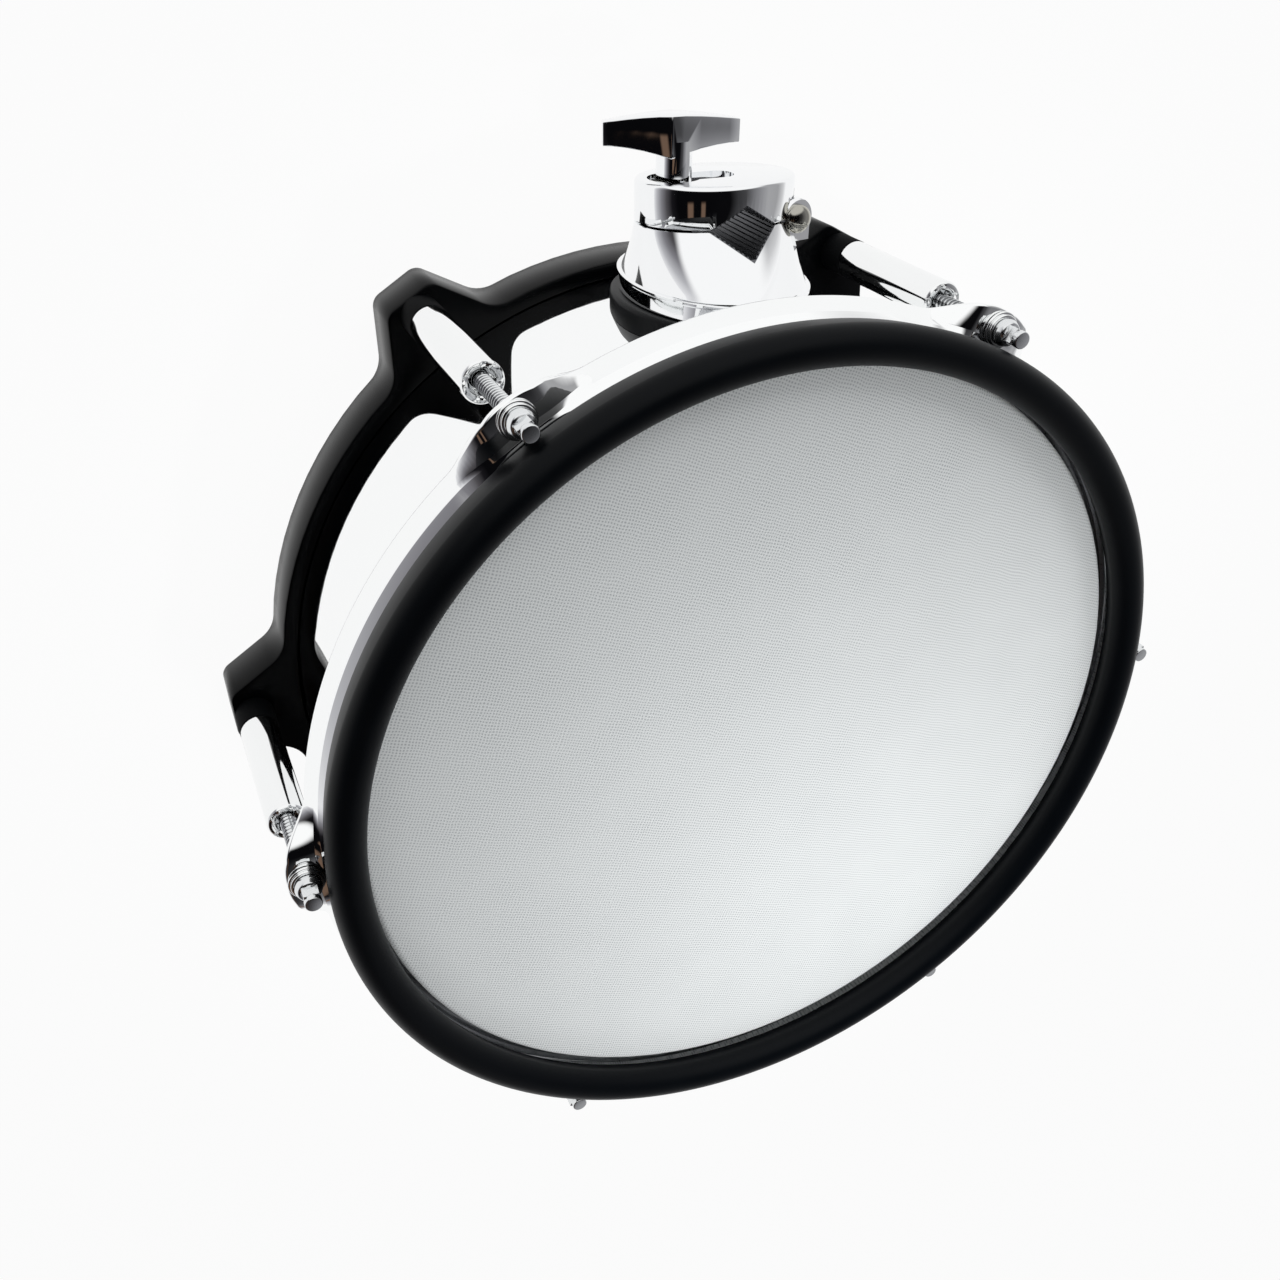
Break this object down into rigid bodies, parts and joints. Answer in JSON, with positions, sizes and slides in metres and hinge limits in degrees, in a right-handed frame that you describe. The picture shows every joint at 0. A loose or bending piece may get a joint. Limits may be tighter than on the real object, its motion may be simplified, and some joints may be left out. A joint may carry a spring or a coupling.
{
  "type": "electronic snare drum",
  "caption": "Electronic snare drum pad with a chromed shell, moulded base ring, tensioned mesh head, rubber-rimmed counterhoop and a hinged rod clamp with wing screw.",
  "frame": {"origin": "on the drum's axis at the middle of its underside", "axes": "+Z is the drum's axis with the head up, +X runs through one lug, +Y points to the rod clamp's side"},
  "size_m": [0.3486, 0.3745, 0.1425],
  "materials": {
    "black_moulding": "black moulding, smooth satin skin",
    "chrome_shell": "mirror chrome on rolled steel",
    "chrome_hoop": "mirror chrome on pressed steel",
    "chrome_lugs": "mirror chrome on steel",
    "chrome_castings": "mirror chrome on zinc castings",
    "aluminium": "plain extruded aluminium",
    "woven_mesh": "fine pale grey polyester mesh",
    "black_rubber": "matt black rubber",
    "plated_steel": "bright zinc plate",
    "zinc_screws": "zinc-plated screws",
    "grey_foam": "open-cell dark grey foam",
    "piezo_brass": "thin brass disc",
    "jack_plastic": "black jack housing",
    "lead_sheath": "red soft lead sheath"
  },
  "bodies": {
    "drum": {"base_ring": "black_moulding", "bottom_cover": "black_moulding", "shell": "chrome_shell", "counterhoop": "chrome_hoop", "flesh_hoop": "aluminium", "mesh_head": "woven_mesh", "rubber_rim": "black_rubber", "clamp_saddle": "black_rubber", "clamp_base": "chrome_castings", "hinge_pin": "plated_steel", "backing_plate": "plated_steel", "clamp_bolt_1": "zinc_screws", "clamp_bolt_2": "zinc_screws", "sensor_bridge": "plated_steel", "bridge_screw_1": "zinc_screws", "bridge_screw_2": "zinc_screws", "piezo_pad": "grey_foam", "head_piezo": "piezo_brass", "foam_cone": "grey_foam", "rim_piezo": "piezo_brass", "jack_body": "jack_plastic", "jack_nut": "plated_steel", "head_lead": "lead_sheath", "rim_lead": "lead_sheath", "cover_screw_1": "zinc_screws", "cover_screw_2": "zinc_screws", "cover_screw_3": "zinc_screws", "cover_screw_4": "zinc_screws", "lug_tube_1": "chrome_lugs", "lug_screw_1": "zinc_screws", "lug_tube_2": "chrome_lugs", "lug_screw_2": "zinc_screws", "lug_tube_3": "chrome_lugs", "lug_screw_3": "zinc_screws", "lug_tube_4": "chrome_lugs", "lug_screw_4": "zinc_screws", "lug_tube_5": "chrome_lugs", "lug_screw_5": "zinc_screws", "lug_tube_6": "chrome_lugs", "lug_screw_6": "zinc_screws"},
    "rod_1_washers": {"rod_washer_1": "chrome_lugs"},
    "rod_1": {"tension_rod_1": "chrome_lugs"},
    "rod_2_washers": {"rod_washer_2": "chrome_lugs"},
    "rod_2": {"tension_rod_2": "chrome_lugs"},
    "rod_3_washers": {"rod_washer_3": "chrome_lugs"},
    "rod_3": {"tension_rod_3": "chrome_lugs"},
    "rod_4_washers": {"rod_washer_4": "chrome_lugs"},
    "rod_4": {"tension_rod_4": "chrome_lugs"},
    "rod_5_washers": {"rod_washer_5": "chrome_lugs"},
    "rod_5": {"tension_rod_5": "chrome_lugs"},
    "rod_6_washers": {"rod_washer_6": "chrome_lugs"},
    "rod_6": {"tension_rod_6": "chrome_lugs"},
    "wing_screw_washer": {"wing_washer": "plated_steel"},
    "wing": {"wing_screw": "chrome_castings"},
    "cap": {"clamp_cap": "chrome_castings"}
  },
  "joints": [
    {"name": "rod_1_turn", "type": "hinge", "parent": "drum", "child": "rod_1_washers", "pos_m": [0.1668, 0, 0.13], "axis": [0, 0, 1], "range_deg": [0, 7210]},
    {"name": "rod_1_lift", "type": "slide", "parent": "rod_1_washers", "child": "rod_1", "axis": [0, 0, 1], "range_m": [0, 0.02117]},
    {"name": "rod_2_turn", "type": "hinge", "parent": "drum", "child": "rod_2_washers", "pos_m": [0.0834, 0.14445, 0.13], "axis": [0, 0, 1], "range_deg": [0, 7210]},
    {"name": "rod_2_lift", "type": "slide", "parent": "rod_2_washers", "child": "rod_2", "axis": [0, 0, 1], "range_m": [0, 0.02117]},
    {"name": "rod_3_turn", "type": "hinge", "parent": "drum", "child": "rod_3_washers", "pos_m": [-0.0834, 0.14445, 0.13], "axis": [0, 0, 1], "range_deg": [0, 7210]},
    {"name": "rod_3_lift", "type": "slide", "parent": "rod_3_washers", "child": "rod_3", "axis": [0, 0, 1], "range_m": [0, 0.02117]},
    {"name": "rod_4_turn", "type": "hinge", "parent": "drum", "child": "rod_4_washers", "pos_m": [-0.1668, 0, 0.13], "axis": [0, 0, 1], "range_deg": [0, 7210]},
    {"name": "rod_4_lift", "type": "slide", "parent": "rod_4_washers", "child": "rod_4", "axis": [0, 0, 1], "range_m": [0, 0.02117]},
    {"name": "rod_5_turn", "type": "hinge", "parent": "drum", "child": "rod_5_washers", "pos_m": [-0.0834, -0.14445, 0.13], "axis": [0, 0, 1], "range_deg": [0, 7210]},
    {"name": "rod_5_lift", "type": "slide", "parent": "rod_5_washers", "child": "rod_5", "axis": [0, 0, 1], "range_m": [0, 0.02117]},
    {"name": "rod_6_turn", "type": "hinge", "parent": "drum", "child": "rod_6_washers", "pos_m": [0.0834, -0.14445, 0.13], "axis": [0, 0, 1], "range_deg": [0, 7210]},
    {"name": "rod_6_lift", "type": "slide", "parent": "rod_6_washers", "child": "rod_6", "axis": [0, 0, 1], "range_m": [0, 0.02117]},
    {"name": "wing_lift", "type": "slide", "parent": "drum", "child": "wing_screw_washer", "axis": [0.0384, 0.9993, 0], "range_m": [0, 0.00625]},
    {"name": "wing_turn", "type": "hinge", "parent": "wing_screw_washer", "child": "wing", "pos_m": [-0.00789, 0.18544, 0.0679], "axis": [0.0384, 0.9993, 0], "range_deg": [0, 1810]},
    {"name": "cap_open", "type": "hinge", "parent": "drum", "child": "cap", "pos_m": [0.0311, 0.17654, 0.0679], "axis": [0, 0, -1], "range_deg": [0, 7.92]}
  ],
  "couplings": [
    {"joint": "rod_1_turn", "follows": "rod_1_lift", "rad_per_m": 5936.9},
    {"joint": "rod_2_turn", "follows": "rod_2_lift", "rad_per_m": 5936.9},
    {"joint": "rod_3_turn", "follows": "rod_3_lift", "rad_per_m": 5936.9},
    {"joint": "rod_4_turn", "follows": "rod_4_lift", "rad_per_m": 5936.9},
    {"joint": "rod_5_turn", "follows": "rod_5_lift", "rad_per_m": 5936.9},
    {"joint": "rod_6_turn", "follows": "rod_6_lift", "rad_per_m": 5936.9},
    {"joint": "wing_turn", "follows": "wing_lift", "rad_per_m": 5026.5},
    {"joint": "cap_open", "follows": "wing_lift", "rad_per_m": 22.061}
  ]
}
